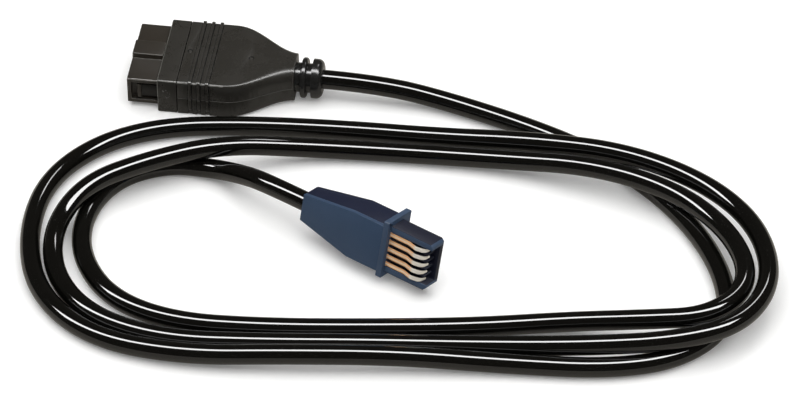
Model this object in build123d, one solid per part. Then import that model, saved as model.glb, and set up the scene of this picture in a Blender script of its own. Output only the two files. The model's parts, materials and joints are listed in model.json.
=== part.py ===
from build123d import *
import os

# A data cable for digital measuring tools: a black ten-way socket in a moulded hood, one metre of round
# cable laid in a flat coil, and a blue plug whose slotted tongue carries five spring contacts.
# The origin is under the middle of the black connector, on the surface that it lies on.
# +X runs along the connector towards its cable, +Z is up, and every size is in millimetres.

# Driving sizes of the black connector
connector_length = 39.4
hood_width = 19.8
hood_thickness = 8.4
hood_wall = 1.0
hood_edge = 0.5
hood_neck_edge = 2.3
hood_neck_width = 7.9
hood_step = 0.1
collar_length = 4.1
collar_edge = 0.4
insert_width = 17.7
insert_thickness = 6.3
insert_exposed = 6.4
insert_edge = 0.25
contact_pitch = 2.54
contacts_per_row = 5

# Driving sizes of the cable
cable_diameter = 4.0
arc_share = 0.45

# Driving sizes of the blue plug, along its own x (towards the tip), y (away from the contacts) and z
plug_length = 21.05
plug_straight = 7.25
plug_thickness = 6.9
plug_width = 10.2
plug_end_width = 5.8
plug_end_near = 1.35
plug_end_far = 6.25
plug_wall = 1.0
flange_width = 12.5
flange_depth = 8.0
flange_thickness = 1.2
tongue_length = 9.8
tongue_width = 10.4
tongue_near = 1.2
tongue_far = 5.4
comb_level = 1.65
slot_floor = 4.2
slot_width = 1.2
leaf_count = 5
leaf_pitch = 1.65
leaf_width = 1.0
leaf_thickness = 0.25
leaf_level = 1.3
leaf_start = 0.25
comb_end = 8.8
tail_length = 6.0
wire_diameter = 0.8
wire_level = 1.5

# Where the blue plug lies: the middle of its flange's front edge, its heading and its lean
plug_place = Location((39.99, -53.83, 8.17), (0, 0, -27.2)) * Location((0, 0, 0), (-15.3, 0, 0))

# Stations along the black connector
mouth_x = -connector_length / 2
exit_x = connector_length / 2
axis_z = hood_thickness / 2
collar_x = mouth_x + insert_exposed
shell_x = collar_x + collar_length
shoulder_x = 0.3
neck_x = 14.0
cavity_back_x = 10.8
body_back_x = -10.2
cover_back_x = -6.6
stub_x = 8.0

# The cable's route from the boot to the blue plug, each point chosen by hand
cable_points = [
    (exit_x, 0, axis_z), (32, 0, axis_z), (47, -1.3, 2.1), (66, -7.7, 2.1), (83, -16, 2.1),
    (97, -28.8, 2.1), (106, -44, 2.1), (108.5, -58.5, 2.1), (100.5, -69.3, 2.1), (87, -74.4, 2.1),
    (67, -75.7, 2.1), (46, -77.8, 3.6), (25, -80.5, 3.7), (4.5, -82.5, 2.7), (-14, -79.6, 2.1),
    (-26.8, -68.8, 2.1), (-32, -53, 2.1), (-31.5, -36.5, 2.1), (-23.5, -24, 2.1), (-11, -16.8, 2.1),
    (6, -14, 2.1), (26, -12.6, 2.1), (46, -12.2, 2.1), (65, -14, 5), (84, -16.5, 6.5),
    (101, -23.3, 6.3), (112, -34.5, 6.3), (116.2, -49.5, 6.3), (111.5, -62.3, 6.3), (99.5, -69.3, 6.4),
    (82, -71, 4.4), (61, -71.5, 2.1), (38, -74, 2.1), (19, -76.5, 2.1), (0, -78.2, 2.1),
    (-15.2, -73.8, 2.1), (-24.5, -63.5, 2.1), (-27.2, -51, 3.3), (-22.2, -40.5, 6.5), (-11, -32, 6.4),
    (3, -25, 6.3), (19, -19.8, 2.8), (39, -18, 2.1), (59, -18.2, 3), (77.5, -21, 6.2),
    (94, -26, 6.3), (105, -35, 6.3), (110.9, -46, 6.3), (110.2, -55, 6.3), (103.6, -61.8, 6.3),
    (93, -63.5, 5.8), (78, -62.8, 2.6), (59, -66.6, 2.1), (39, -69.7, 2.1), (19, -72.3, 2.1),
    (1, -73.1, 2.1), (-12.4, -68.2, 2.1), (-20.5, -57, 2.1), (-22, -44.5, 2.1), (-17.5, -33.4, 2.1),
    (-8, -27.7, 2.1), (1.5, -28, 2.2), (8.5, -32.8, 4.6),
]

os.makedirs("parts", exist_ok=True)


def box_between(low, high):
    size = [b - a for a, b in zip(low, high)]
    middle = [(a + b) / 2 for a, b in zip(low, high)]
    return Pos(*middle) * Box(*size)


def rod(x_start, x_end, radius, y=0.0, z=axis_z):
    turned = Pos((x_start + x_end) / 2, y, z) * Rot(0, 90, 0)
    return turned * Cylinder(radius, x_end - x_start)


def save(shape, node):
    export_step(shape, f"parts/{node}.step")


def tube_along(points, radii, diameter):
    path = FilletPolyline(*points, radius=radii)
    start = Plane(path @ 0, z_dir=path % 0)
    return path, sweep(start * Circle(diameter / 2), path=path)


def wide_radii(points):
    corners = []
    spots = [Vector(*p) for p in points]
    for before, here, after in zip(spots, spots[1:], spots[2:]):
        half_turn = (here - before).get_angle(after - here) / 2
        shorter = min((here - before).length, (after - here).length)
        corners.append(arc_share * shorter / tan_degrees(half_turn))
    return corners


def tan_degrees(angle):
    up = Vector(1, 0, 0).rotate(Axis.Z, angle)
    return up.Y / up.X


# ---- Black connector: the socket that the measuring tool's pins go into ----

pocket_y = insert_width / 2 - 1.25
pocket_low, pocket_high = axis_z - 2.2, axis_z + 2.2
cavity_size = 0.95
tail_size = 0.5
cavity_end_x = -12.7
arm_recess = 0.4


def contact_places():
    middle = (contacts_per_row - 1) / 2
    for row in (-0.5, 0.5):
        for column in range(contacts_per_row):
            yield (column - middle) * contact_pitch, axis_z + row * contact_pitch


def make_socket_body():
    low = (mouth_x, -insert_width / 2, axis_z - insert_thickness / 2)
    high = (body_back_x, insert_width / 2, axis_z + insert_thickness / 2)
    body = box_between(low, high)
    body = fillet(body.edges().filter_by(Axis.X), insert_edge)
    key = box_between((mouth_x, -2.2, high[2] - 0.3), (collar_x, 2.2, high[2] + 1.2))
    body += fillet(key.edges().filter_by(Axis.X), 0.25)
    for side in (-1, 1):
        near, far = sorted((side * pocket_y, side * (insert_width / 2 + 1)))
        body -= box_between((mouth_x + 0.8, near, pocket_low), (body_back_x + 0.1, far, pocket_high))
    for y, z in contact_places():
        half = cavity_size / 2
        body -= box_between((mouth_x - 0.1, y - half, z - half), (cavity_end_x, y + half, z + half))
        half = tail_size / 2
        body -= box_between((cavity_end_x - 0.1, y - half, z - half), (body_back_x + 0.1, y + half, z + half))
        lead = Plane((mouth_x, y, z), z_dir=(1, 0, 0))
        body -= extrude(lead * Rectangle(1.45, 1.45), amount=0.4, taper=32)
    return body


def make_socket_cover():
    half_width = insert_width / 2 - 0.05
    low = (body_back_x, -half_width, axis_z - 3.0)
    cover = box_between(low, (cover_back_x, half_width, axis_z + 3.0))
    for side in (-1, 1):
        near, far = sorted((side * (pocket_y + 0.15), side * (half_width - arm_recess)))
        arm_x = mouth_x + 2.0
        cover += box_between((arm_x, near, axis_z - 1.5), (body_back_x + 0.1, far, axis_z + 1.5))
        near, far = sorted((side * (pocket_y + 0.15), side * half_width))
        post = box_between((arm_x, near, axis_z - 1.6), (arm_x + 0.9, far, axis_z + 1.6))
        outer = post.edges().filter_by(Axis.Z).group_by(Axis.Y)[-1 if side > 0 else 0]
        cover += fillet(outer, 0.35)
    for y, z in contact_places():
        half = tail_size / 2
        cover -= box_between((body_back_x - 0.1, y - half, z - half), (body_back_x + 2.4, y + half, z + half))
    return cover


def make_socket_contact(y, z):
    tail = box_between((cavity_end_x, y - 0.25, z - 0.25), (body_back_x + 2.4, y + 0.25, z + 0.25))
    for side in (-1, 1):
        inner, outer = sorted((side * 0.14, side * 0.34))
        leaf = box_between((mouth_x + 1.6, y - 0.3, z + inner), (cavity_end_x, y + 0.3, z + outer))
        tail += leaf
    bridge = box_between((cavity_end_x - 0.3, y - 0.3, z - 0.34), (cavity_end_x, y + 0.3, z + 0.34))
    return tail + bridge


# ---- Black connector: collar, two shells and the ribbed boot ----

def make_hood_collar():
    low = (collar_x, -hood_width / 2, 0)
    collar = box_between(low, (shell_x, hood_width / 2, hood_thickness))
    collar = fillet(collar.edges().filter_by(Axis.X), collar_edge)
    collar = fillet(collar.faces().sort_by(Axis.X)[0].edges(), 0.25)
    collar = chamfer(collar.faces().sort_by(Axis.X)[-1].edges(), 0.15)
    opening = Plane((collar_x - 1, 0, axis_z), z_dir=(1, 0, 0))
    profile = RectangleRounded(insert_thickness + 0.1, insert_width + 0.1, 0.3)
    return collar - extrude(opening * profile, amount=collar_length + 2)


def eased(part):
    part = min(max(part, 0.0), 1.0)
    return part * part * (3 - 2 * part)


def hood_half_width(x):
    along = max(x - shoulder_x, 0) / (neck_x - shoulder_x + 0.5)
    return hood_width / 2 - (hood_width - hood_neck_width) / 2 * eased(along**1.1)


def hood_section(x, inset, widen):
    corner = hood_edge + (hood_neck_edge - hood_edge) * eased((x - shoulder_x) / 12)
    width = 2 * (hood_half_width(x) - inset + widen)
    thickness = hood_thickness - 2 * inset
    spot = Plane((x, 0, axis_z), x_dir=(0, 1, 0), z_dir=(1, 0, 0))
    return spot * RectangleRounded(width, thickness, max(corner - inset, 0.3))


def hood_form(inset=0.0, widen=0.0, end=None):
    # A straight front, then a shoulder that narrows to the neck while its edges grow rounder
    end = neck_x if end is None else end
    start = hood_section(shoulder_x, inset, widen)
    front = extrude(start, amount=shell_x - shoulder_x)
    count = 10
    stations = [shoulder_x + (end - shoulder_x) * k / count for k in range(count + 1)]
    back = loft([hood_section(x, inset, widen) for x in stations])
    return front + back


def boot_profile():
    # Half section of the boot: inner flange, waist in the neck, two grooves, a ring and the end collar
    groove, ring, collar = 3.05, 4.2, 4.1
    steps = [(cavity_back_x, 3.4), (12.0, 3.4), (12.0, 2.9), (neck_x, 2.9), (neck_x, groove), (15.2, groove),
             (15.2, ring), (16.4, ring), (16.4, groove), (17.5, groove), (17.5, collar), (exit_x, collar)]
    bore = cable_diameter / 2
    return Polyline((cavity_back_x, bore), *steps, (exit_x, bore), close=True)


def boot_solid():
    section = Plane((0, 0, axis_z), x_dir=(1, 0, 0), z_dir=(0, -1, 0)) * make_face(boot_profile())
    return revolve(section, Axis((0, 0, axis_z), (1, 0, 0)))


def rims_between(solid, low_x, high_x):
    rims = solid.edges().filter_by(GeomType.CIRCLE)
    return [e for e in rims if e.radius > 4.05 and low_x < e.center().X < high_x]


def make_cable_boot():
    boot = boot_solid()
    boot = fillet(rims_between(boot, 15, 17), 0.5)
    return fillet(rims_between(boot, 19, 21), 1.3)


rib_positions = (-6.5, -4.7, -2.9)
rib_width = 0.6
rib_height = 0.3
rib_groove = 0.18
rib_groove_depth = 0.12
gate_marks = ((-8.0, 0.2), (4.8, -0.3))
gate_radius = 0.55


def make_ribs(low_z, high_z, widen):
    half = hood_width / 2 + widen + rib_height
    ribs = []
    for x in rib_positions:
        rib = box_between((x - rib_width / 2, -half, low_z), (x + rib_width / 2, half, high_z))
        corner = 1 if high_z > axis_z + 1 else 0
        ribs.append(fillet(rib.edges().filter_by(Axis.X).group_by(Axis.Z)[-corner], hood_edge + 0.2))
    return ribs


def make_hood(low_z, high_z, widen):
    # One half of the hood; the lower one is a little wider, which leaves a fine step along the joint
    hood = hood_form(0.0, widen)
    hood &= box_between((shell_x + 0.12, -12, low_z), (neck_x, 12, high_z))
    top = high_z > axis_z + 1
    core = hood_form(rib_groove_depth, widen)
    for x in rib_positions:
        reach = rib_width / 2 + rib_groove
        hood -= box_between((x - reach, -12, -1), (x + reach, 12, 12)) - core
    rib_low = axis_z if top else 1.2
    rib_high = hood_thickness + rib_height if top else axis_z
    for rib in make_ribs(rib_low, rib_high, widen):
        hood += rib
    if top:
        for x, y in gate_marks:
            mark = Cylinder(gate_radius, 0.24) - Cylinder(gate_radius / 2, 0.24)
            hood -= Pos(x, y, hood_thickness) * mark
    hood -= hood_form(hood_wall, 0.0, cavity_back_x)
    front_half = insert_width / 2 + 0.05
    hood -= box_between((shell_x - 1, -front_half, hood_wall), (cover_back_x, front_half, hood_thickness - hood_wall))
    return hood - boot_solid() - rod(10, exit_x, cable_diameter / 2 + 0.5)


def peg_places():
    return [(x, side * y) for x, y in ((-4.0, 7.2), (6.2, 5.0)) for side in (-1, 1)]


def make_hood_shells():
    top = make_hood(axis_z, hood_thickness + 1, 0.0)
    bottom = make_hood(-1, axis_z, hood_step)
    for x, y in peg_places():
        sleeve = Pos(x, y, (axis_z + hood_thickness) / 2 - 0.25) * Cylinder(1.1, axis_z - 0.5)
        top += sleeve - Pos(x, y, axis_z + 0.8) * Cylinder(0.62, 1.7)
        peg = Pos(x, y, (axis_z + 0.5) / 2) * Cylinder(1.1, axis_z - 0.5)
        bottom += peg + Pos(x, y, axis_z + 0.7) * Cylinder(0.6, 1.4)
    return top, bottom


def make_front_wires():
    wires = []
    for number in range(leaf_count):
        spread = number - (leaf_count - 1) / 2
        if spread == 0:
            wires.append(rod(cover_back_x, stub_x, wire_diameter / 2))
            continue
        wide_y, narrow_y = spread * contact_pitch, spread * 0.85
        points = [(cover_back_x, wide_y), (-3.5, wide_y), (4.5, narrow_y), (stub_x, narrow_y)]
        points = [(x, y, axis_z) for x, y in points]
        wires.append(tube_along(points, wide_radii(points), wire_diameter)[1])
    return wires


# ---- Cable ----

def make_cable():
    local_end = Vector(-plug_length, (plug_end_near + plug_end_far) / 2, 0)
    place = plug_place * Pos(*local_end)
    before = plug_place * Pos(local_end.X - 10, local_end.Y, local_end.Z)
    points = cable_points + [tuple(before.position), tuple(place.position)]
    radii = wide_radii(points)
    path, tube = tube_along(points, radii, cable_diameter)
    print("cable arc radii", [round(r, 1) for r in radii])
    section = Circle(cable_diameter / 2).area
    print("cable length", round(path.length, 1), "volume / (section x length)",
          round(tube.volume / (section * path.length), 4))
    return tube


# ---- Blue plug, built about its flange and then put in place ----

body_end_x = -flange_thickness - plug_straight
half_body = plug_width / 2
half_end = plug_end_width / 2
cable_y = (plug_end_near + plug_end_far) / 2


def side_profile(near_inset, far_inset, thickness=None):
    near = [(-flange_thickness, near_inset), (body_end_x, near_inset), (-plug_length, plug_end_near + near_inset)]
    if thickness is None:
        far = [(-plug_length, plug_end_far - far_inset), (body_end_x, plug_thickness - far_inset),
               (-flange_thickness, plug_thickness - far_inset)]
    else:
        far = [(x, y + thickness) for x, y in reversed(near)]
    return extrude(make_face(Polyline(*near, *far, close=True)), amount=10, both=True)


def plan_profile(inset):
    wide, narrow = half_body - inset, half_end - inset
    outline = [(-flange_thickness, wide), (body_end_x, wide), (-plug_length, narrow)]
    outline += [(x, -z) for x, z in reversed(outline)]
    face = Plane.XZ * make_face(Polyline(*outline, close=True))
    return extrude(face, amount=10, both=True)


def bore_for_cable():
    return rod(-plug_length - 1, -plug_length + 2.6, cable_diameter / 2, cable_y, 0)


def make_plug_case():
    case = side_profile(0, 0) & plan_profile(0)
    case = fillet(case.edges().filter_by(Axis.Z).group_by(Axis.X)[0], 0.4)
    case -= side_profile(0, 0, plug_wall)
    cavity = side_profile(plug_wall, plug_wall) & plan_profile(plug_wall)
    cavity &= box_between((-plug_length + 2.5, -1, -10), (0, 10, 10))
    return case - cavity - bore_for_cable()


def make_plug_cover():
    cover = side_profile(0, 0, plug_wall) & plan_profile(0)
    return cover - bore_for_cable()


def leaf_heights():
    return [(number - (leaf_count - 1) / 2) * leaf_pitch for number in range(leaf_count)]


def tail_solid(z):
    low = (-tail_length, leaf_level - leaf_thickness / 2, z - leaf_width / 2)
    return box_between(low, (leaf_start - 0.05, leaf_level + leaf_thickness / 2, z + leaf_width / 2))


def make_contact_carrier():
    flange = box_between((-flange_thickness, 0, -flange_width / 2), (0, flange_depth, flange_width / 2))
    flange = fillet(flange.edges().filter_by(Axis.X), 0.3)
    tongue = box_between((0, tongue_near, -tongue_width / 2), (tongue_length, tongue_far, tongue_width / 2))
    tip = tongue.edges().filter_by(Axis.Y).group_by(Axis.X)[-1]
    tongue = chamfer(tip, 0.6)
    block = box_between((-4.5, plug_wall, -4.05), (-flange_thickness, 5.85, 4.05))
    carrier = flange + tongue + block
    comb_half = leaf_heights()[-1] + slot_width / 2
    carrier -= box_between((0, tongue_near - 1, -comb_half), (tongue_length + 1, comb_level, comb_half))
    carrier -= box_between((comb_end, tongue_near - 1, -comb_half), (tongue_length + 1, slot_floor, comb_half))
    for z in leaf_heights():
        half = slot_width / 2
        carrier -= box_between((0, tongue_near - 1, z - half), (tongue_length + 1, slot_floor, z + half))
        carrier -= tail_solid(z)
    return carrier


def make_contact_leaf(z):
    # A flat run in its slot, a step outwards, a rounded crest and a tip that curls back in
    crest = [(leaf_start, leaf_level), (4.4, leaf_level), (6.5, 0.6), (9.1, 1.3), (9.25, 2.6)]
    line = FilletPolyline(*crest, radius=[1.6, 1.6, 0.4])
    strip = trace(line, line_width=leaf_thickness)
    leaf = extrude(strip, amount=leaf_width / 2, both=True)
    return Pos(0, 0, z) * leaf


def make_rear_wires():
    wires = []
    for z in leaf_heights():
        start_z = z * 0.52
        points = [(-plug_length + 2.5, cable_y, start_z), (-plug_length + 5.0, cable_y, start_z),
                  (-9.0, wire_level + 0.2, z), (-tail_length, wire_level, z)]
        wires.append(tube_along(points, wide_radii(points), wire_diameter)[1])
    return wires


# ---- Write every piece ----

save(make_socket_body(), "socket_body")
save(make_socket_cover(), "socket_cover")
save(Compound(children=[make_socket_contact(y, z) for y, z in contact_places()]), "socket_contacts")
save(make_hood_collar(), "hood_collar")
top_shell, bottom_shell = make_hood_shells()
save(top_shell, "hood_top_shell")
save(bottom_shell, "hood_bottom_shell")
save(make_cable_boot(), "cable_boot")
save(rod(stub_x, exit_x, cable_diameter / 2), "front_jacket_end")
save(rod(8.4, 10.6, 2.6) - rod(8, 11, cable_diameter / 2), "front_crimp_sleeve")
save(Compound(children=make_front_wires()), "front_core_wires")
save(make_cable(), "cable")

save(plug_place * make_plug_case(), "plug_case")
save(plug_place * make_plug_cover(), "plug_cover")
save(plug_place * make_contact_carrier(), "contact_carrier")
save(plug_place * Compound(children=[tail_solid(z) for z in leaf_heights()]), "contact_tails")
for number, z in enumerate(leaf_heights(), start=1):
    save(plug_place * make_contact_leaf(z), f"contact_leaf_{number}")
save(plug_place * Compound(children=make_rear_wires()), "rear_core_wires")
jacket_end = rod(-plug_length, -plug_length + 2.5, cable_diameter / 2, cable_y, 0)
save(plug_place * jacket_end, "rear_jacket_end")
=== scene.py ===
import bmesh
import bpy
import json
import math
from mathutils import Euler, Matrix, Vector


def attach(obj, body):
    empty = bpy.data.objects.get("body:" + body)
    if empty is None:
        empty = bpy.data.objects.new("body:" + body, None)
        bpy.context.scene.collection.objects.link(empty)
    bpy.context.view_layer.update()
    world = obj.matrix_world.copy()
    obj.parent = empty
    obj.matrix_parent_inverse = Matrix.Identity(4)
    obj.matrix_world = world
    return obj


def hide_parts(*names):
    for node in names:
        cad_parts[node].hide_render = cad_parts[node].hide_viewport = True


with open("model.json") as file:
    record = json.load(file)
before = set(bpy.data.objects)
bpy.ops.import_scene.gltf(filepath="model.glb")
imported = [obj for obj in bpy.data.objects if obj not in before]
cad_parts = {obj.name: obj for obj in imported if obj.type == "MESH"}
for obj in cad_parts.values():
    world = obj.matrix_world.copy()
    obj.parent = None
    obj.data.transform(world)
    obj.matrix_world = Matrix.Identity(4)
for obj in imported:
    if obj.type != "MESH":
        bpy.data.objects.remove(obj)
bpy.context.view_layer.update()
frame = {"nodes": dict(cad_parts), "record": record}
print("frame loaded, pieces:", len(frame["nodes"]))

mm = 0.001
blackEnd = "cable_set"  # the body that everything rigid belongs to


cameraSetup = {
    "aim": (39.8 * mm, -30.4 * mm, 0.0),
    "azimuth": 7.9,
    "elevation": 42.4,
    "distance": 0.923,
    "lens": 206.5,
}


def makeCamera(setup):
    data = bpy.data.cameras.new("viewCamera")
    camera = bpy.data.objects.new("viewCamera", data)
    bpy.context.scene.collection.objects.link(camera)
    turn, tilt = math.radians(setup["azimuth"]), math.radians(setup["elevation"])
    back = Vector((math.sin(turn) * math.cos(tilt), -math.cos(turn) * math.cos(tilt), math.sin(tilt)))
    camera.location = Vector(setup["aim"]) + back * setup["distance"]
    camera.rotation_mode = "QUATERNION"
    camera.rotation_quaternion = (-back).to_track_quat("-Z", "Y")
    data.lens = setup["lens"]
    data.sensor_width = 36.0
    data.clip_start, data.clip_end = 0.01, 10.0
    bpy.context.scene.camera = camera


makeCamera(cameraSetup)

lightSetup = {
    "strip": {"place": (-0.12, -0.08, 0.90), "size": (2.0, 0.26), "power": 27.0, "level": True, "lights": False},
    "softTop": {"place": (0.0, -0.05, 1.10), "size": (2.2, 1.8), "power": 26.0, "level": True, "mirrored": False},
    "backRight": {"place": (0.30, 0.66, 0.86), "size": (0.16, 0.24), "power": 1.1},
    "frontRight": {"place": (0.62, -0.90, 0.42), "size": (0.5, 0.35), "power": 1.1, "mirrored": False},
}
surroundings = {"colour": (1.0, 0.93, 0.82, 1.0), "strength": 0.05}


def makeLights(setup, around, aim):
    for name, values in setup.items():
        data = bpy.data.lights.new(name, "AREA")
        data.shape = "RECTANGLE"
        data.size, data.size_y = values["size"]
        data.energy = values["power"]
        lamp = bpy.data.objects.new(name, data)
        lamp.location = values["place"]
        lamp.visible_glossy = values.get("mirrored", True)  # whether it shows in glossy surfaces
        lamp.visible_diffuse = values.get("lights", True)  # whether it lights matt surfaces
        if not values.get("level"):  # a level one faces straight down
            lamp.rotation_mode = "QUATERNION"
            lamp.rotation_quaternion = (Vector(aim) - lamp.location).to_track_quat("-Z", "Y")
        bpy.context.scene.collection.objects.link(lamp)
    world = bpy.data.worlds.new("studio")
    world.use_nodes = True
    background = world.node_tree.nodes["Background"]
    background.inputs["Color"].default_value = around["colour"]
    background.inputs["Strength"].default_value = around["strength"]
    bpy.context.scene.world = world
    bpy.context.scene.view_settings.view_transform = "Standard"  # keeps the blacks deep and the paper white


makeLights(lightSetup, surroundings, cameraSetup["aim"])

floorSetup = {
    "half": 3.0,
    "paper": (0.90, 0.90, 0.895, 1.0),
    "inGloss": (0.30, 0.28, 0.245, 1.0),  # as a darker table shows in the gloss
    "glow": 0.16,  # keeps its shadows faint
    "rough": 0.9,
}


def makeFloor(setup):
    mesh = bpy.data.meshes.new("studioFloor")
    half = setup["half"]
    corners = [(-half, -half, 0), (half, -half, 0), (half, half, 0), (-half, half, 0)]
    mesh.from_pydata(corners, [], [(0, 1, 2, 3)])
    floor = bpy.data.objects.new("studioFloor", mesh)
    bpy.context.scene.collection.objects.link(floor)
    paper = bpy.data.materials.new("palePaper")
    paper.use_nodes = True
    tree = paper.node_tree
    shader = tree.nodes["Principled BSDF"]
    seenIn = tree.nodes.new("ShaderNodeLightPath")
    tone = tree.nodes.new("ShaderNodeMix")
    tone.data_type = "RGBA"
    tone.inputs[6].default_value = setup["paper"]
    tone.inputs[7].default_value = setup["inGloss"]
    tree.links.new(seenIn.outputs["Is Glossy Ray"], tone.inputs[0])
    tree.links.new(tone.outputs[2], shader.inputs["Base Color"])
    tree.links.new(tone.outputs[2], shader.inputs["Emission Color"])
    shader.inputs["Emission Strength"].default_value = setup["glow"]
    shader.inputs["Roughness"].default_value = setup["rough"]
    mesh.materials.append(paper)


makeFloor(floorSetup)
print("camera, lights and floor made")


# the cable is one smooth line along its whole route
cable = {
    "diameter": 4.0 * mm,
    "length": 1.016,
    "roundness": 10,
}

cableRoute = [  # millimetres, from the boot's end to the blue plug
    (19.7, 0, 4.2), (32, 0, 4.2), (47, -1.3, 2.1), (66, -7.7, 2.1), (83, -16, 2.1),
    (97, -28.8, 2.1), (106, -44, 2.1), (108.5, -58.5, 2.1), (100.5, -69.3, 2.1), (87, -74.4, 2.1),
    (67, -75.7, 2.1), (46, -77.8, 3.6), (25, -80.5, 3.7), (4.5, -82.5, 2.7), (-14, -79.6, 2.1),
    (-26.8, -68.8, 2.1), (-32, -53, 2.1), (-31.5, -36.5, 2.1), (-23.5, -24, 2.1), (-11, -16.8, 2.1),
    (6, -14, 2.1), (26, -12.6, 2.1), (46, -12.2, 2.1), (65, -14, 5), (84, -16.5, 6.5),
    (101, -23.3, 6.3), (112, -34.5, 6.3), (116.2, -49.5, 6.3), (111.5, -62.3, 6.3), (99.5, -69.3, 6.4),
    (82, -71, 4.4), (61, -71.5, 2.1), (38, -74, 2.1), (19, -76.5, 2.1), (0, -78.2, 2.1),
    (-15.2, -73.8, 2.1), (-24.5, -63.5, 2.1), (-27.2, -51, 3.3), (-22.2, -40.5, 6.5), (-11, -32, 6.4),
    (3, -25, 6.3), (19, -19.8, 2.8), (39, -18, 2.1), (59, -18.2, 3), (77.5, -21, 6.2),
    (94, -26, 6.3), (105, -35, 6.3), (110.9, -46, 6.3), (110.2, -55, 6.3), (103.6, -61.8, 6.3),
    (93, -63.5, 5.8), (78, -62.8, 2.6), (59, -66.6, 2.1), (39, -69.7, 2.1), (19, -72.3, 2.1),
    (1, -73.1, 2.1), (-12.4, -68.2, 2.1), (-20.5, -57, 2.1), (-22, -44.5, 2.1), (-17.5, -33.4, 2.1),
    (-8, -27.7, 2.1), (1.5, -28, 2.2), (8.5, -32.3, 5.2), (14.03, -36.38, 7.16), (22.92, -40.95, 7.16),
]


def makeCable(setup, route):
    curve = bpy.data.curves.new("cable_line", "CURVE")
    curve.dimensions = "3D"
    spline = curve.splines.new("NURBS")
    spline.points.add(len(route) - 1)
    for point, place in zip(spline.points, route):
        point.co = (place[0] * mm, place[1] * mm, place[2] * mm, 1.0)
        point.radius = setup["diameter"] / 2  # the real radius here keeps the curve's box tight
    spline.order_u = 3
    spline.use_endpoint_u = True
    spline.resolution_u = 12
    curve.bevel_depth = 1.0
    curve.bevel_resolution = setup["roundness"]
    piece = bpy.data.objects.new("cable_line", curve)
    bpy.context.scene.collection.objects.link(piece)
    return piece


cablePiece = makeCable(cable, cableRoute)
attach(cablePiece, blackEnd)
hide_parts("cable")
print("cable laid")


def addNode(tree, kind, settings=None, **inputs):
    node = tree.nodes.new(kind)
    for name, value in (settings or {}).items():
        setattr(node, name, value)
    for name, value in inputs.items():
        node.inputs[name.replace("_", " ")].default_value = value
    return node


def join(tree, start, end):
    tree.links.new(start, end)
    return end


def newGroup(name, takes, gives):
    group = bpy.data.node_groups.new(name, "ShaderNodeTree")
    for label, value in takes.items():
        socket = group.interface.new_socket(label, in_out="INPUT", socket_type="NodeSocketFloat")
        socket.default_value = value
    for label in gives:
        group.interface.new_socket(label, in_out="OUTPUT", socket_type="NodeSocketFloat")
    return group, group.nodes.new("NodeGroupInput").outputs, group.nodes.new("NodeGroupOutput").inputs


def arithmetic(tree, operation, first, second=0.0, clamp=False):
    node = tree.nodes.new("ShaderNodeMath")
    node.operation = operation
    node.use_clamp = clamp
    for socket, value in zip(node.inputs, (first, second)):
        if isinstance(value, (int, float)):
            socket.default_value = value
        else:
            tree.links.new(value, socket)
    return node.outputs[0]


def product(tree, result, *others):
    for value in others:
        result = arithmetic(tree, "MULTIPLY", result, value)
    return result


def ownPlace(tree):
    return addNode(tree, "ShaderNodeTexCoord").outputs["Object"]


# surface effects that more than one finish uses
def makeGrainGroup():
    group, taken, given = newGroup("mouldedGrain", {"Scale": 5200.0, "Blotch": 160.0}, ("Height", "Tone"))
    place = ownPlace(group)
    fine = addNode(group, "ShaderNodeTexNoise", Detail=3.0, Roughness=0.6)
    cells = addNode(group, "ShaderNodeTexVoronoi", {"feature": "SMOOTH_F1"}, Smoothness=0.6)
    broad = addNode(group, "ShaderNodeTexNoise", Detail=4.0, Roughness=0.55)
    for texture in (fine, cells, broad):
        join(group, place, texture.inputs["Vector"])
    join(group, taken["Scale"], fine.inputs["Scale"])
    join(group, arithmetic(group, "MULTIPLY", taken["Scale"], 0.55), cells.inputs["Scale"])
    join(group, taken["Blotch"], broad.inputs["Scale"])
    height = arithmetic(group, "ADD", arithmetic(group, "MULTIPLY", fine.outputs["Fac"], 0.6),
                        arithmetic(group, "MULTIPLY", cells.outputs["Distance"], 0.4))
    join(group, height, given["Height"])
    tone = arithmetic(group, "ADD", arithmetic(group, "MULTIPLY", broad.outputs["Fac"], 0.7),
                      arithmetic(group, "MULTIPLY", fine.outputs["Fac"], 0.3))
    join(group, tone, given["Tone"])
    return group


def makeWearGroup():
    group, taken, given = newGroup("edgeWear", {"Radius": 0.0003, "Amount": 1.0, "Break": 900.0}, ("Mask",))
    rounded = addNode(group, "ShaderNodeBevel", {"samples": 4})
    join(group, taken["Radius"], rounded.inputs["Radius"])
    flat = addNode(group, "ShaderNodeNewGeometry")
    facing = addNode(group, "ShaderNodeVectorMath", {"operation": "DOT_PRODUCT"})
    join(group, rounded.outputs["Normal"], facing.inputs[0])
    join(group, flat.outputs["Normal"], facing.inputs[1])
    edge = arithmetic(group, "MULTIPLY", arithmetic(group, "SUBTRACT", 1.0, facing.outputs["Value"]), 6.0, True)
    noise = addNode(group, "ShaderNodeTexNoise", Detail=4.0, Roughness=0.65)
    join(group, ownPlace(group), noise.inputs["Vector"])
    join(group, taken["Break"], noise.inputs["Scale"])
    broken = arithmetic(group, "MULTIPLY", arithmetic(group, "SUBTRACT", noise.outputs["Fac"], 0.32), 3.0, True)
    join(group, arithmetic(group, "MULTIPLY", arithmetic(group, "MULTIPLY", edge, broken), taken["Amount"], True),
         given["Mask"])
    return group


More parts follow.
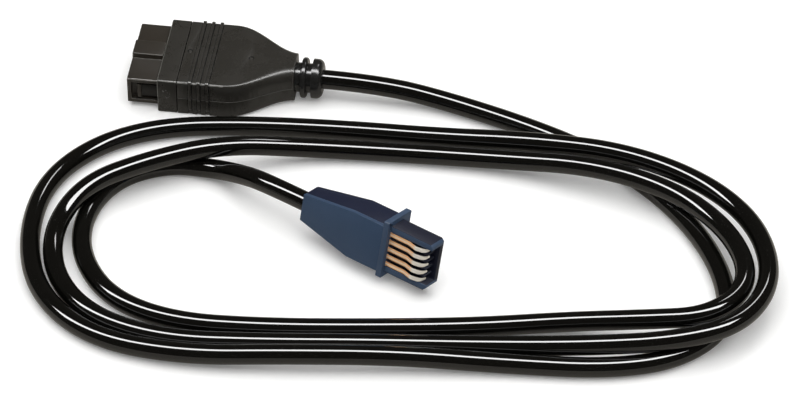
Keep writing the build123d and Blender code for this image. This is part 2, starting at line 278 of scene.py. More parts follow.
def makeDustGroup():
    group, taken, given = newGroup("settledDust", {"Amount": 0.3, "Scale": 2600.0}, ("Mask",))
    place = ownPlace(group)
    specks = addNode(group, "ShaderNodeTexVoronoi", Randomness=1.0)
    patches = addNode(group, "ShaderNodeTexNoise", Scale=60.0, Detail=3.0)
    join(group, place, specks.inputs["Vector"])
    join(group, place, patches.inputs["Vector"])
    join(group, taken["Scale"], specks.inputs["Scale"])
    dots = arithmetic(group, "LESS_THAN", specks.outputs["Distance"], 0.1)
    spread = arithmetic(group, "MULTIPLY", arithmetic(group, "SUBTRACT", patches.outputs["Fac"], 0.42), 3.0, True)
    up = addNode(group, "ShaderNodeSeparateXYZ")
    join(group, addNode(group, "ShaderNodeNewGeometry").outputs["Normal"], up.inputs[0])
    upward = arithmetic(group, "MULTIPLY", up.outputs["Z"], 1.0, True)
    join(group, product(group, dots, spread, upward, taken["Amount"]), given["Mask"])
    return group


grainGroup, wearGroup, dustGroup = makeGrainGroup(), makeWearGroup(), makeDustGroup()


def useGroup(tree, group, **values):
    node = tree.nodes.new("ShaderNodeGroup")
    node.node_tree = group
    for name, value in values.items():
        node.inputs[name].default_value = value
    return node.outputs


def mixColour(tree, factor, first, second):
    node = addNode(tree, "ShaderNodeMix", {"data_type": "RGBA"})
    join(tree, factor, node.inputs["Factor"])
    for socket, value in ((node.inputs[6], first), (node.inputs[7], second)):
        if isinstance(value, tuple):
            socket.default_value = (*value, 1.0)
        else:
            join(tree, value, socket)
    return node.outputs[2]


def stretch(tree, value, low, high):
    node = addNode(tree, "ShaderNodeMapRange", To_Min=low, To_Max=high)
    join(tree, value, node.inputs["Value"])
    return node.outputs["Result"]


def startMaterial(name, rough, constants):
    material = bpy.data.materials.new(name)
    material.use_nodes = True
    tree = material.node_tree
    shader = tree.nodes["Principled BSDF"]
    shader.inputs["Roughness"].default_value = rough
    for label, value in constants.items():
        shader.inputs[label].default_value = value
    return material, tree, shader


def addBump(tree, shader, height, strength, distance):
    bump = addNode(tree, "ShaderNodeBump", Strength=strength, Distance=distance)
    join(tree, height, bump.inputs["Height"])
    join(tree, bump.outputs["Normal"], shader.inputs["Normal"])


lineFade = (0.6, 1.3)  # where a line begins and ends to fade, in half widths


def makeLineGroup():
    tree, given, out = newGroup("grooveLines", {"Place": 0.0, "Centre": 0.0, "Half Width": 0.0001}, ("Mask",))
    offset = arithmetic(tree, "ABSOLUTE", arithmetic(tree, "SUBTRACT", given["Place"], given["Centre"]))
    fade = addNode(tree, "ShaderNodeMapRange", {"interpolation_type": "SMOOTHSTEP"})
    join(tree, offset, fade.inputs["Value"])
    join(tree, arithmetic(tree, "MULTIPLY", given["Half Width"], lineFade[0]), fade.inputs["From Min"])
    join(tree, arithmetic(tree, "MULTIPLY", given["Half Width"], lineFade[1]), fade.inputs["From Max"])
    fade.inputs["To Min"].default_value = 1.0
    fade.inputs["To Max"].default_value = 0.0
    join(tree, fade.outputs["Result"], out["Mask"])
    return tree


lineGroup = makeLineGroup()


dustColour = (0.42, 0.41, 0.39)


def makePlastic(name, dark, light, worn, rough, grain=5200.0, blotch=160.0, bump=0.25, depth=0.00003,
                wear=0.5, wearRadius=0.00025, dust=0.25, shade=None, **constants):
    material, tree, shader = startMaterial(name, rough[0], constants)
    surface = useGroup(tree, grainGroup, Scale=grain, Blotch=blotch)
    edges = useGroup(tree, wearGroup, Radius=wearRadius, Amount=wear)
    specks = useGroup(tree, dustGroup, Amount=dust)
    colour = mixColour(tree, surface["Tone"], dark, light)
    colour = mixColour(tree, edges["Mask"], colour, worn)
    colour = mixColour(tree, specks["Mask"], colour, dustColour)
    for mask, tint in (shade(tree) if shade else ()):
        colour = mixColour(tree, mask, colour, tint)
    join(tree, colour, shader.inputs["Base Color"])
    polish = stretch(tree, surface["Tone"], *rough)
    join(tree, arithmetic(tree, "SUBTRACT", polish, arithmetic(tree, "MULTIPLY", edges["Mask"], 0.12), True),
         shader.inputs["Roughness"])
    addBump(tree, shader, surface["Height"], bump, depth)
    return material


hoodLines = {  # millimetres: lines across the hood and ring marks (painted shade in the grooves and ring recesses, a dark seam line at the collar), the line where its halves meet (painted highlight), and the near-top and collar edges (painted highlights)
    "grooves": (-9.2, -6.89, -6.11, -5.09, -4.31, -3.29, -2.51),
    "grooveHalf": 0.12,
    "rings": ((-8.0, 0.2), (4.8, -0.3)),
    "ringRadius": 0.5,
    "ringHalf": 0.11,
    "ringHeight": 8.35,
    "partingHeight": 4.2,
    "partingHalf": 0.06,
    "partingStart": -9.1,
    "scuff": (-11.3, -9.9, 4.9),
    "scuffRadius": 1.3,
    "nickScale": 2600.0,
    "nickAbove": 0.63,
    # painted highlight along the near-top edges
    "highlightEdge": 9.75,
    "highlightHalf": 0.1,
    "highlightAbove": 8.0,
    "highlightUpTo": 0.4,
    "highlightScale": 700.0,
    "highlightSpread": (-0.2, 1.3),
    # painted highlight along the collar's front edge
    "collarEdge": -13.2,
    "collarHalf": 0.08,
    "insertEdge": 8.77,
    "insertAbove": 7.05,
}
hoodTints = {  # how strongly each line shows, and its colour: painted shade in the grooves and rings, painted highlights along the parting line, the near-top edges and the collar edge, and real nicks
    "grooveShade": (0.85, (0.0025, 0.0024, 0.0022)),
    # painted highlight along the parting line
    "parting": (0.7, (0.10, 0.098, 0.09)),
    "nick": (0.8, (0.20, 0.20, 0.19)),
    "collar": (0.6, (0.22, 0.22, 0.20)),
    # painted highlight along the near-top edges
    "edgeHighlight": (1.0, (0.34, 0.34, 0.32)),
}


def placeParts(tree):
    place = ownPlace(tree)
    parts = addNode(tree, "ShaderNodeSeparateXYZ")
    join(tree, place, parts.inputs[0])
    return place, parts.outputs


def lineAt(tree, place, centre, half):
    mask = useGroup(tree, lineGroup, **{"Centre": centre * mm, "Half Width": half * mm})["Mask"]
    join(tree, place, mask.node.inputs["Place"])
    return mask


def reach(tree, place, centre):
    gap = addNode(tree, "ShaderNodeVectorMath", {"operation": "DISTANCE"})
    join(tree, place, gap.inputs[0])
    gap.inputs[1].default_value = [value * mm for value in centre]
    return gap.outputs["Value"]


# painted highlight: a light line along the near-top edges, broken by noise
def paintedEdgeHighlight(tree, place, parts, edge, above):
    line = lineAt(tree, arithmetic(tree, "ABSOLUTE", parts["Y"]), edge, hoodLines["highlightHalf"])
    high = product(tree, arithmetic(tree, "GREATER_THAN", parts["Z"], above * mm),
                   arithmetic(tree, "LESS_THAN", parts["X"], hoodLines["highlightUpTo"] * mm))
    patches = addNode(tree, "ShaderNodeTexNoise", Scale=hoodLines["highlightScale"], Detail=4.0, Roughness=0.7)
    join(tree, place, patches.inputs["Vector"])
    return product(tree, line, high, stretch(tree, patches.outputs["Fac"], *hoodLines["highlightSpread"]))


def hoodShade(tree):
    place, parts = placeParts(tree)
    lines = hoodLines
    # painted shade: dark lines in the rib grooves and the gate-mark ring recesses, with a dark seam line at the collar
    dark = lineAt(tree, parts["X"], lines["grooves"][0], lines["grooveHalf"])
    for centre in lines["grooves"][1:]:
        dark = arithmetic(tree, "MAXIMUM", dark, lineAt(tree, parts["X"], centre, lines["grooveHalf"]))
    for x, y in lines["rings"]:
        away = reach(tree, place, (x, y, lines["ringHeight"]))
        dark = arithmetic(tree, "MAXIMUM", dark, lineAt(tree, away, lines["ringRadius"], lines["ringHalf"]))
    # painted highlight: a lighter line along the parting line, where its step catches the light
    behind = arithmetic(tree, "GREATER_THAN", parts["X"], lines["partingStart"] * mm)
    parting = product(tree, behind, lineAt(tree, parts["Z"], lines["partingHeight"], lines["partingHalf"]))
    nicks = addNode(tree, "ShaderNodeTexNoise", Scale=lines["nickScale"], Detail=3.0)
    join(tree, place, nicks.inputs["Vector"])
    scuffed = arithmetic(tree, "LESS_THAN", reach(tree, place, lines["scuff"]), lines["scuffRadius"] * mm)
    nicked = product(tree, scuffed, arithmetic(tree, "GREATER_THAN", nicks.outputs["Fac"], lines["nickAbove"]))
    # painted highlight along the hood's near-top edges
    edgeHighlight = paintedEdgeHighlight(tree, place, parts, lines["highlightEdge"], lines["highlightAbove"])
    # painted highlight: a light line along the collar's front edge, where it catches the light
    collar = lineAt(tree, parts["X"], lines["collarEdge"], lines["collarHalf"])
    masks = {"grooveShade": dark, "parting": parting, "nick": nicked, "edgeHighlight": edgeHighlight, "collar": collar}
    return [(product(tree, mask, hoodTints[name][0]), hoodTints[name][1]) for name, mask in masks.items()]


socketRecess = {  # millimetres: painted shade in the side windows of the insert, and the colour of the painted highlight on its near-top edges
    "side": 8.42,
    "sideHalf": 0.12,
    "height": 4.2,
    "heightHalf": 2.9,
    "strength": 0.85,
    "colour": (0.003, 0.003, 0.003),
    "highlightColour": (0.28, 0.27, 0.25),
}


def within(tree, value, centre, half):
    gap = arithmetic(tree, "ABSOLUTE", arithmetic(tree, "SUBTRACT", value, centre * mm))
    return arithmetic(tree, "LESS_THAN", gap, half * mm)


def socketShade(tree):
    place, parts = placeParts(tree)
    recess = socketRecess
    # painted shade: near-black in the side windows of the insert
    sunk = within(tree, arithmetic(tree, "ABSOLUTE", parts["Y"]), recess["side"], recess["sideHalf"])
    inside = within(tree, parts["Z"], recess["height"], recess["heightHalf"])
    # painted highlight along the insert's near-top edges
    edgeHighlight = paintedEdgeHighlight(tree, place, parts, hoodLines["insertEdge"], hoodLines["insertAbove"])
    return ((product(tree, sunk, inside, recess["strength"]), recess["colour"]), (edgeHighlight, recess["highlightColour"]))


hoodFinish = {
    "dark": (0.018, 0.0165, 0.0135),
    "light": (0.036, 0.0335, 0.029),
    "worn": (0.17, 0.165, 0.15),
    "rough": (0.20, 0.36),
    "wear": 0.9,
    "wearRadius": 0.00018,
    "Specular IOR Level": 0.42,
}
socketFinish = {
    "dark": (0.020, 0.0165, 0.0125),
    "light": (0.035, 0.029, 0.022),
    "worn": (0.22, 0.21, 0.18),
    "rough": (0.28, 0.42),
    "grain": 6500.0,
    "wear": 1.2,
    "wearRadius": 0.00018,
    "Specular IOR Level": 0.4,
}
bootFinish = {
    "dark": (0.010, 0.010, 0.010),
    "light": (0.016, 0.016, 0.015),
    "worn": (0.03, 0.03, 0.03),
    "rough": (0.14, 0.24),
    "grain": 3000.0,
    "bump": 0.12,
    "wear": 0.4,
}
hoodPlastic = makePlastic("hoodPlastic", shade=hoodShade, **hoodFinish)
socketPlastic = makePlastic("socketPlastic", shade=socketShade, **socketFinish)
bootRubber = makePlastic("bootRubber", **bootFinish)

# the blue plug's own zero point and turn, for patterns and pieces made in its directions
plugFrame = {
    "origin": (39.99 * mm, -53.83 * mm, 8.17 * mm),
    "turn": (math.radians(-15.3), 0.0, math.radians(-27.2)),
    "crestStart": 5.8 * mm,
}


def plugCoordinates(tree):
    local = addNode(tree, "ShaderNodeMapping", {"vector_type": "TEXTURE"})
    local.inputs["Location"].default_value = plugFrame["origin"]
    local.inputs["Rotation"].default_value = plugFrame["turn"]
    join(tree, ownPlace(tree), local.inputs["Vector"])
    parts = addNode(tree, "ShaderNodeSeparateXYZ")
    join(tree, local.outputs["Vector"], parts.inputs[0])
    return parts.outputs


blueFinish = {"rough": (0.46, 0.60), "grain": 6000.0, "wear": 0.8, "wearRadius": 0.00012, "Specular IOR Level": 0.2}
# painted light and shade: a lighter copy of the blue plastic for the plug's near face and a darker copy for its case
# and other blue parts
litBlueTones = ((0.026, 0.050, 0.094), (0.042, 0.074, 0.136))
shadedBlueTones = ((0.006, 0.009, 0.026), (0.010, 0.014, 0.036))
shadedBluePlastic = makePlastic("shadedBluePlastic", *shadedBlueTones, (0.03, 0.035, 0.06), **blueFinish)
litBluePlastic = makePlastic("litBluePlastic", *litBlueTones, (0.006, 0.009, 0.018), **blueFinish)

carrierFinish = {  # places in millimetres, in the plug's own directions
    "outerFrom": 5.08,
    "tongueFrom": 0.02,
    "innerFrom": 1.32,
    "combHalf": 3.95,
    "shadedTones": ((0.003, 0.004, 0.014), (0.006, 0.008, 0.022)),
    "worn": (0.05, 0.08, 0.13),
}


def makeCarrierPlastic(finish):
    material, tree, shader = startMaterial("carrierPlastic", 0.5, {"Specular IOR Level": 0.35})
    surface = useGroup(tree, grainGroup, Scale=6000.0, Blotch=160.0)
    edges = useGroup(tree, wearGroup, Radius=0.0002, Amount=0.5)
    local = plugCoordinates(tree)
    aside = arithmetic(tree, "ABSOLUTE", local["Z"])
    outer = arithmetic(tree, "GREATER_THAN", aside, finish["outerFrom"] * mm)
    tongue = arithmetic(tree, "GREATER_THAN", local["X"], finish["tongueFrom"] * mm)
    inner = arithmetic(tree, "GREATER_THAN", local["Y"], finish["innerFrom"] * mm)
    comb = arithmetic(tree, "LESS_THAN", aside, finish["combHalf"] * mm)
    # painted shade: the tongue's top and bottom walls and the comb recess take the darker tones, the rest the lighter
    # painted-lit blue
    shaded = product(tree, tongue, arithmetic(tree, "MAXIMUM", outer, product(tree, inner, comb)))
    litColour = mixColour(tree, surface["Tone"], *litBlueTones)
    shadedColour = mixColour(tree, surface["Tone"], *finish["shadedTones"])
    colour = mixColour(tree, shaded, litColour, shadedColour)
    join(tree, mixColour(tree, edges["Mask"], colour, finish["worn"]), shader.inputs["Base Color"])
    join(tree, stretch(tree, surface["Tone"], *blueFinish["rough"]), shader.inputs["Roughness"])
    addBump(tree, shader, surface["Height"], 0.25, 0.00003)
    return material


jacketFinish = {
    "dark": (0.0018, 0.0017, 0.0014),
    "light": (0.0036, 0.0034, 0.0028),
    "rough": (0.05, 0.09),
    "ripple": 90.0,
    "rippleDepth": 0.00004,
}


def makeJacket(finish):
    material, tree, shader = startMaterial("glossyJacket", finish["rough"][0], {"IOR": 1.5, "Coat Weight": 0.5,
                                                                              "Coat Roughness": 0.03, "Coat IOR": 1.45})
    place = ownPlace(tree)
    surface = useGroup(tree, grainGroup, Scale=2400.0, Blotch=220.0)
    specks = useGroup(tree, dustGroup, Amount=0.35, Scale=1900.0)
    colour = mixColour(tree, surface["Tone"], finish["dark"], finish["light"])
    colour = mixColour(tree, specks["Mask"], colour, (0.30, 0.29, 0.27))
    join(tree, colour, shader.inputs["Base Color"])
    join(tree, stretch(tree, surface["Tone"], *finish["rough"]), shader.inputs["Roughness"])
    ripple = addNode(tree, "ShaderNodeTexNoise", Scale=finish["ripple"], Detail=1.5, Roughness=0.4)
    join(tree, place, ripple.inputs["Vector"])
    addBump(tree, shader, ripple.outputs["Fac"], 0.35, finish["rippleDepth"])
    return material


glossyJacket = makeJacket(jacketFinish)


springContact = {  # lengths in millimetres, in the plug's own directions
    "line": ((0.25, 1.30), (4.4, 1.30), (6.4, 0.60), (8.35, 1.05), (8.65, 2.6)),
    "bend": 1.3,
    "width": 0.84,
    "thickness": 0.22,
    "edge": 0.05,
    "tipShare": 0.5,
    "taperFrom": 0.80,
    "mergeGap": 0.001,
    "smoothAngle": 40,
    "pitch": 1.65,
    "count": 5,
}


contactFinish = {
    "metallic": 0.3,
    "copper": ((1.0, 0.44, 0.17), (1.0, 0.70, 0.42)),
    # painted highlight: a pale line along the middle of each strip
    "centreHighlight": (1.0, 0.84, 0.64),
    "centreHighlightHalf": 0.12,
    # crest colours: partly wiped wear at the mating point, partly a painted highlight on the bump
    "crest": ((1.0, 0.90, 0.74), (1.0, 0.97, 0.90)),
    "crestFade": 0.6,
    "rough": (0.14, 0.30),
}


def makeContactGold(finish):
    material, tree, shader = startMaterial("contactGold", 0.2, {"Metallic": finish["metallic"]})
    surface = useGroup(tree, grainGroup, Scale=7000.0, Blotch=900.0)
    local = plugCoordinates(tree)
    along = local["X"]
    across = addNode(tree, "ShaderNodeMath", {"operation": "PINGPONG"})
    join(tree, local["Z"], across.inputs[0])
    across.inputs[1].default_value = springContact["pitch"] * mm / 2
    across = across.outputs[0]
    crest = addNode(tree, "ShaderNodeMapRange")
    join(tree, along, crest.inputs["Value"])
    crest.inputs["From Min"].default_value = plugFrame["crestStart"]
    crest.inputs["From Max"].default_value = plugFrame["crestStart"] + finish["crestFade"] * mm
    copper = mixColour(tree, surface["Tone"], *finish["copper"])
    # painted highlight: a pale line along the middle of each contact strip
    copper = mixColour(tree, lineAt(tree, across, 0.0, finish["centreHighlightHalf"]), copper, finish["centreHighlight"])
    # near-white crest: partly wiped wear, partly a painted highlight on the bump that faces the light
    wipedAndHighlit = mixColour(tree, surface["Tone"], *finish["crest"])
    join(tree, mixColour(tree, crest.outputs["Result"], copper, wipedAndHighlit), shader.inputs["Base Color"])
    join(tree, stretch(tree, surface["Tone"], *finish["rough"]), shader.inputs["Roughness"])
    addBump(tree, shader, surface["Height"], 0.1, 0.00001)
    return material


def makeMetal(name, dull, bright, rough):
    material, tree, shader = startMaterial(name, rough[0], {"Metallic": 1.0})
    surface = useGroup(tree, grainGroup, Scale=4200.0, Blotch=500.0)
    join(tree, mixColour(tree, surface["Tone"], dull, bright), shader.inputs["Base Color"])
    join(tree, stretch(tree, surface["Tone"], *rough), shader.inputs["Roughness"])
    addBump(tree, shader, surface["Height"], 0.15, 0.00001)
    return material


carrierPlastic = makeCarrierPlastic(carrierFinish)
contactGold = makeContactGold(contactFinish)
crimpTin = makeMetal("crimpTin", (0.46, 0.45, 0.43), (0.66, 0.65, 0.62), (0.28, 0.44))
wireSheath = makePlastic("wireSheath", (0.30, 0.04, 0.03), (0.42, 0.07, 0.05), (0.5, 0.12, 0.1), (0.3, 0.4),
                         grain=3000.0, wear=0.0, dust=0.0)
print("finishes made")

finishes = {
    "cable_jacket": glossyJacket,
    "hood_plastic": hoodPlastic,
    "socket_plastic": socketPlastic,
    "boot_rubber": bootRubber,
    "blue_plastic": shadedBluePlastic,
    "contact_metal": contactGold,
    "crimp_metal": crimpTin,
    "wire_insulation": wireSheath,
}
ownFinish = {"plug_cover": litBluePlastic, "contact_carrier": carrierPlastic}
slotOf = {entry["node"]: entry["material_slot"] for entry in frame["record"]["subparts"]}


def finishOf(nodeName):
    return ownFinish.get(nodeName, finishes[slotOf[nodeName]])


for nodeName in slotOf:
    node = frame["nodes"][nodeName]
    node.data.materials.clear()
    node.data.materials.append(finishOf(nodeName))
cablePiece.data.materials.append(glossyJacket)


softEdges = {  # edge radius in millimetres and the sharpest angle left alone, in degrees
    "socket_body": (0.07, 35),
    "socket_cover": (0.07, 35),
    "hood_collar": (0.07, 35),
    "hood_top_shell": (0.05, 35),
    "hood_bottom_shell": (0.05, 35),
    "plug_case": (0.10, 12),
    "plug_cover": (0.07, 12),
    "contact_carrier": (0.07, 35),
}
softening = {"mergeGap": 0.002, "flatAngle": 0.5, "segments": 2, "smoothAngle": 32}


def plainMesh(piece, name):
    bpy.context.view_layer.update()
    mesh = bpy.data.meshes.new_from_object(piece.evaluated_get(bpy.context.evaluated_depsgraph_get()))
    mesh.name = name
    piece.modifiers.clear()
    return mesh


def smoothed(mesh, angle):
    mesh.shade_smooth()
    mesh.set_sharp_from_angle(angle=math.radians(angle))


def softenedCopy(nodeName, radius, angle):
    form = bmesh.new()
    form.from_mesh(frame["nodes"][nodeName].data)
    bmesh.ops.remove_doubles(form, verts=form.verts, dist=softening["mergeGap"] * mm)
    bmesh.ops.dissolve_limit(form, angle_limit=math.radians(softening["flatAngle"]), verts=form.verts,
                             edges=form.edges)
    mesh = bpy.data.meshes.new(nodeName + "_moulded")
    form.to_mesh(mesh)
    form.free()
    piece = bpy.data.objects.new(nodeName + "_moulded", mesh)
    bpy.context.scene.collection.objects.link(piece)
    bevel = piece.modifiers.new("softEdge", "BEVEL")
    bevel.width = radius * mm
    bevel.segments = softening["segments"]
    bevel.limit_method = "ANGLE"
    bevel.angle_limit = math.radians(angle)
    piece.data = plainMesh(piece, nodeName + "_moulded")
    smoothed(piece.data, softening["smoothAngle"])
    piece.data.materials.clear()
    piece.data.materials.append(finishOf(nodeName))
    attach(piece, blackEnd)
    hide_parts(nodeName)


for nodeName, (radius, angle) in softEdges.items():
    softenedCopy(nodeName, radius, angle)
print("moulded parts made")


def newTree(name, takes):
    tree = bpy.data.node_groups.new(name, "GeometryNodeTree")
    tree.interface.new_socket("Geometry", in_out="INPUT", socket_type="NodeSocketGeometry")
    for label, (kind, value) in takes.items():
        socket = tree.interface.new_socket(label, in_out="INPUT", socket_type="NodeSocket" + kind)
        if value is not None:
            socket.default_value = value
    tree.interface.new_socket("Geometry", in_out="OUTPUT", socket_type="NodeSocketGeometry")
    return tree, tree.nodes.new("NodeGroupInput").outputs, tree.nodes.new("NodeGroupOutput").inputs


def finishTree(tree, shape, material, given):
    whole = tree.nodes.new("GeometryNodeRealizeInstances")
    coat = tree.nodes.new("GeometryNodeSetMaterial")
    join(tree, shape, whole.inputs["Geometry"])
    join(tree, whole.outputs["Geometry"], coat.inputs["Geometry"])
    join(tree, material, coat.inputs["Material"])
    join(tree, coat.outputs["Geometry"], given["Geometry"])


def runTree(tree, name, mesh, values):
    piece = bpy.data.objects.new(name, mesh)
    bpy.context.scene.collection.objects.link(piece)
    modifier = piece.modifiers.new("build", "NODES")
    modifier.node_group = tree
    for item in tree.interface.items_tree:
        if item.in_out == "INPUT" and item.name in values:
            modifier[item.identifier] = values[item.name]
    piece.data = plainMesh(piece, name)
    return piece


def makeContactTree():
    tree, taken, given = newTree("springContactStrip", {
        "Width": ("Float", 0.001), "Thickness": ("Float", 0.00025), "Bend": ("Float", 0.001),
        "Edge": ("Float", 0.00005), "Tip Share": ("Float", 0.6), "Lane": ("Float", 0.0),
        "Material": ("Material", None)})
    line = tree.nodes.new("GeometryNodeMeshToCurve")
    join(tree, taken["Geometry"], line.inputs["Mesh"])
    bent = addNode(tree, "GeometryNodeFilletCurve", {"mode": "POLY"}, Count=8, Limit_Radius=True)
    join(tree, line.outputs["Curve"], bent.inputs["Curve"])
    join(tree, taken["Bend"], bent.inputs["Radius"])
    upright = addNode(tree, "GeometryNodeSetCurveNormal", {"mode": "Z_UP"})
    join(tree, bent.outputs["Curve"], upright.inputs["Curve"])
    keep = tree.nodes.new("GeometryNodeCaptureAttribute")
    keep.capture_items.new("FLOAT", "Along")
    join(tree, upright.outputs["Curve"], keep.inputs["Geometry"])
    join(tree, tree.nodes.new("GeometryNodeSplineParameter").outputs["Factor"], keep.inputs["Along"])
    section = tree.nodes.new("GeometryNodeCurvePrimitiveQuadrilateral")
    join(tree, taken["Thickness"], section.inputs["Width"])
    join(tree, taken["Width"], section.inputs["Height"])
    rounded = addNode(tree, "GeometryNodeFilletCurve", {"mode": "POLY"}, Count=2)
    join(tree, section.outputs["Curve"], rounded.inputs["Curve"])
    join(tree, taken["Edge"], rounded.inputs["Radius"])
    strip = tree.nodes.new("GeometryNodeCurveToMesh")
    strip.inputs["Fill Caps"].default_value = True
    join(tree, keep.outputs["Geometry"], strip.inputs["Curve"])
    join(tree, rounded.outputs["Curve"], strip.inputs["Profile Curve"])
    taper = addNode(tree, "ShaderNodeMapRange")
    taper.inputs["From Min"].default_value = springContact["taperFrom"]
    taper.inputs["To Min"].default_value = 1.0
    join(tree, keep.outputs["Along"], taper.inputs["Value"])
    join(tree, taken["Tip Share"], taper.inputs["To Max"])
    place = tree.nodes.new("ShaderNodeSeparateXYZ")
    join(tree, tree.nodes.new("GeometryNodeInputPosition").outputs["Position"], place.inputs[0])
    narrowed = product(tree, place.outputs["Z"], taper.outputs["Result"])
    lane = arithmetic(tree, "ADD", narrowed, taken["Lane"])
    spot = tree.nodes.new("ShaderNodeCombineXYZ")
    join(tree, place.outputs["X"], spot.inputs["X"])
    join(tree, place.outputs["Y"], spot.inputs["Y"])
    join(tree, lane, spot.inputs["Z"])
    moved = tree.nodes.new("GeometryNodeSetPosition")
    join(tree, strip.outputs["Mesh"], moved.inputs["Geometry"])
    join(tree, spot.outputs["Vector"], moved.inputs["Position"])
    finishTree(tree, moved.outputs["Geometry"], taken["Material"], given)
    return tree


def makeSpringContacts(shape):
    tree = makeContactTree()
    turn = Euler(plugFrame["turn"]).to_matrix().to_4x4()
    place = Matrix.Translation(plugFrame["origin"]) @ turn
    for number in range(1, shape["count"] + 1):
        mesh = bpy.data.meshes.new("contactLine")
        points = [(x * mm, y * mm, 0.0) for x, y in shape["line"]]
        mesh.from_pydata(points, [(k, k + 1) for k in range(len(points) - 1)], [])
        lane = (number - (shape["count"] + 1) / 2) * shape["pitch"]
        piece = runTree(tree, f"spring_contact_{number}", mesh, {
            "Width": shape["width"] * mm, "Thickness": shape["thickness"] * mm, "Bend": shape["bend"] * mm,
            "Edge": shape["edge"] * mm, "Tip Share": shape["tipShare"], "Lane": lane * mm, "Material": contactGold})
        piece.data.transform(place)
        form = bmesh.new()
        form.from_mesh(piece.data)
        bmesh.ops.remove_doubles(form, verts=form.verts, dist=shape["mergeGap"] * mm)
        bmesh.ops.recalc_face_normals(form, faces=form.faces)
        form.to_mesh(piece.data)
        form.free()
        smoothed(piece.data, shape["smoothAngle"])
        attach(piece, f"contact_leaf_{number}")
        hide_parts(f"contact_leaf_{number}")
        print("spring contact", number, "points", len(piece.data.vertices))


makeSpringContacts(springContact)


socketTerminal = {  # millimetres
    "pitch": 2.54,
    "columns": 5,
    "rows": 2,
    "height": 4.2,
    "mouth": -18.1,
    "leafLength": 5.4,
    "leafWidth": 0.6,
    "leafThickness": 0.16,
    "leafGap": 0.24,
    "flare": 0.1,
    "barrelLength": 2.0,
    "barrelWidth": 0.5,
    "tailLength": 3.2,
    "tailWidth": 0.4,
}


leafWaist = 0.3  # share of the leaf's length where the two leaves come closest


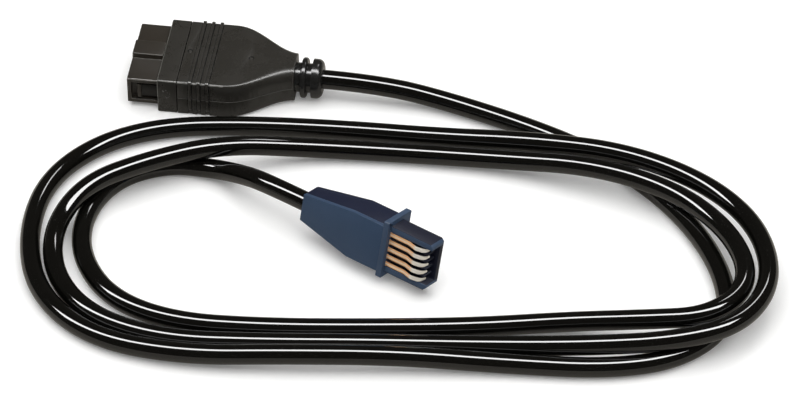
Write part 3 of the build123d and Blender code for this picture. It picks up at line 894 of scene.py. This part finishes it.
def makeTerminalTree():
    tree, taken, given = newTree("socketTerminals", {
        "Pitch": ("Float", 0.00254), "Columns": ("Int", 5), "Rows": ("Int", 2), "Height": ("Float", 0.004),
        "Mouth": ("Float", 0.0), "Leaf Length": ("Float", 0.005), "Leaf Width": ("Float", 0.0006),
        "Leaf Thickness": ("Float", 0.0002), "Leaf Gap": ("Float", 0.0003), "Flare": ("Float", 0.0001),
        "Barrel Length": ("Float", 0.002), "Barrel Width": ("Float", 0.0005), "Tail Length": ("Float", 0.003),
        "Tail Width": ("Float", 0.0004), "Material": ("Material", None)})

    def vector(x, y, z):
        node = tree.nodes.new("ShaderNodeCombineXYZ")
        for socket, value in zip(node.inputs, (x, y, z)):
            if isinstance(value, (int, float)):
                socket.default_value = value
            else:
                join(tree, value, socket)
        return node.outputs["Vector"]

    def block(length, width, thickness, start, lift, steps=2):
        box = addNode(tree, "GeometryNodeMeshCube", Vertices_X=steps)
        join(tree, vector(length, width, thickness), box.inputs["Size"])
        shift = tree.nodes.new("GeometryNodeTransform")
        join(tree, box.outputs["Mesh"], shift.inputs["Geometry"])
        middle = arithmetic(tree, "ADD", start, arithmetic(tree, "MULTIPLY", length, 0.5))
        join(tree, vector(middle, 0.0, lift), shift.inputs["Translation"])
        return shift.outputs["Geometry"]

    lift = arithmetic(tree, "MULTIPLY", arithmetic(tree, "ADD", taken["Leaf Gap"], taken["Leaf Thickness"]), 0.5)
    leaf = block(taken["Leaf Length"], taken["Leaf Width"], taken["Leaf Thickness"], 0.0, lift, 9)
    place = tree.nodes.new("ShaderNodeSeparateXYZ")
    join(tree, tree.nodes.new("GeometryNodeInputPosition").outputs["Position"], place.inputs[0])
    share = arithmetic(tree, "DIVIDE", place.outputs["X"], taken["Leaf Length"])
    fromWaist = arithmetic(tree, "ABSOLUTE", arithmetic(tree, "SUBTRACT", share, leafWaist))
    swing = arithmetic(tree, "POWER", fromWaist, 2.0)
    curved = tree.nodes.new("GeometryNodeSetPosition")
    join(tree, leaf, curved.inputs["Geometry"])
    join(tree, vector(0.0, 0.0, arithmetic(tree, "MULTIPLY", swing, taken["Flare"])), curved.inputs["Offset"])
    turned = addNode(tree, "GeometryNodeTransform")
    turned.inputs["Rotation"].default_value = (math.pi, 0.0, 0.0)
    join(tree, curved.outputs["Geometry"], turned.inputs["Geometry"])
    barrel = block(taken["Barrel Length"], taken["Barrel Width"], taken["Barrel Width"], taken["Leaf Length"], 0.0)
    tailStart = arithmetic(tree, "ADD", taken["Leaf Length"], taken["Barrel Length"])
    tail = block(taken["Tail Length"], taken["Tail Width"], taken["Tail Width"], tailStart, 0.0)
    whole = tree.nodes.new("GeometryNodeJoinGeometry")
    for part in (curved.outputs["Geometry"], turned.outputs["Geometry"], barrel, tail):
        join(tree, part, whole.inputs["Geometry"])
    grid = tree.nodes.new("GeometryNodeMeshGrid")
    for label, side, count in (("X", "Rows", taken["Rows"]), ("Y", "Columns", taken["Columns"])):
        join(tree, arithmetic(tree, "MULTIPLY", arithmetic(tree, "SUBTRACT", count, 1.0), taken["Pitch"]),
             grid.inputs["Size " + label])
        join(tree, count, grid.inputs["Vertices " + label])
    upright = tree.nodes.new("GeometryNodeTransform")
    join(tree, grid.outputs["Mesh"], upright.inputs["Geometry"])
    join(tree, vector(taken["Mouth"], 0.0, taken["Height"]), upright.inputs["Translation"])
    upright.inputs["Rotation"].default_value = (0.0, math.pi / 2, 0.0)
    spread = tree.nodes.new("GeometryNodeInstanceOnPoints")
    join(tree, upright.outputs["Geometry"], spread.inputs["Points"])
    join(tree, whole.outputs["Geometry"], spread.inputs["Instance"])
    finishTree(tree, spread.outputs["Instances"], taken["Material"], given)
    return tree


def makeTerminals(shape):
    values = {"Columns": shape["columns"], "Rows": shape["rows"], "Material": contactGold}
    for label, key in (("Pitch", "pitch"), ("Height", "height"), ("Mouth", "mouth"), ("Leaf Length", "leafLength"),
                       ("Leaf Width", "leafWidth"), ("Leaf Thickness", "leafThickness"), ("Leaf Gap", "leafGap"),
                       ("Flare", "flare"), ("Barrel Length", "barrelLength"), ("Barrel Width", "barrelWidth"),
                       ("Tail Length", "tailLength"), ("Tail Width", "tailWidth")):
        values[label] = shape[key] * mm
    piece = runTree(makeTerminalTree(), "socket_terminals", bpy.data.meshes.new("terminals"), values)
    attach(piece, blackEnd)
    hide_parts("socket_contacts")
    print("socket terminals, points:", len(piece.data.vertices))


makeTerminals(socketTerminal)

farNodes = ["plug_case", "plug_cover", "contact_carrier", "contact_tails", "rear_core_wires", "rear_jacket_end"]
farNodes += [f"contact_leaf_{number}" for number in range(1, springContact["count"] + 1)]

bpy.context.view_layer.update()
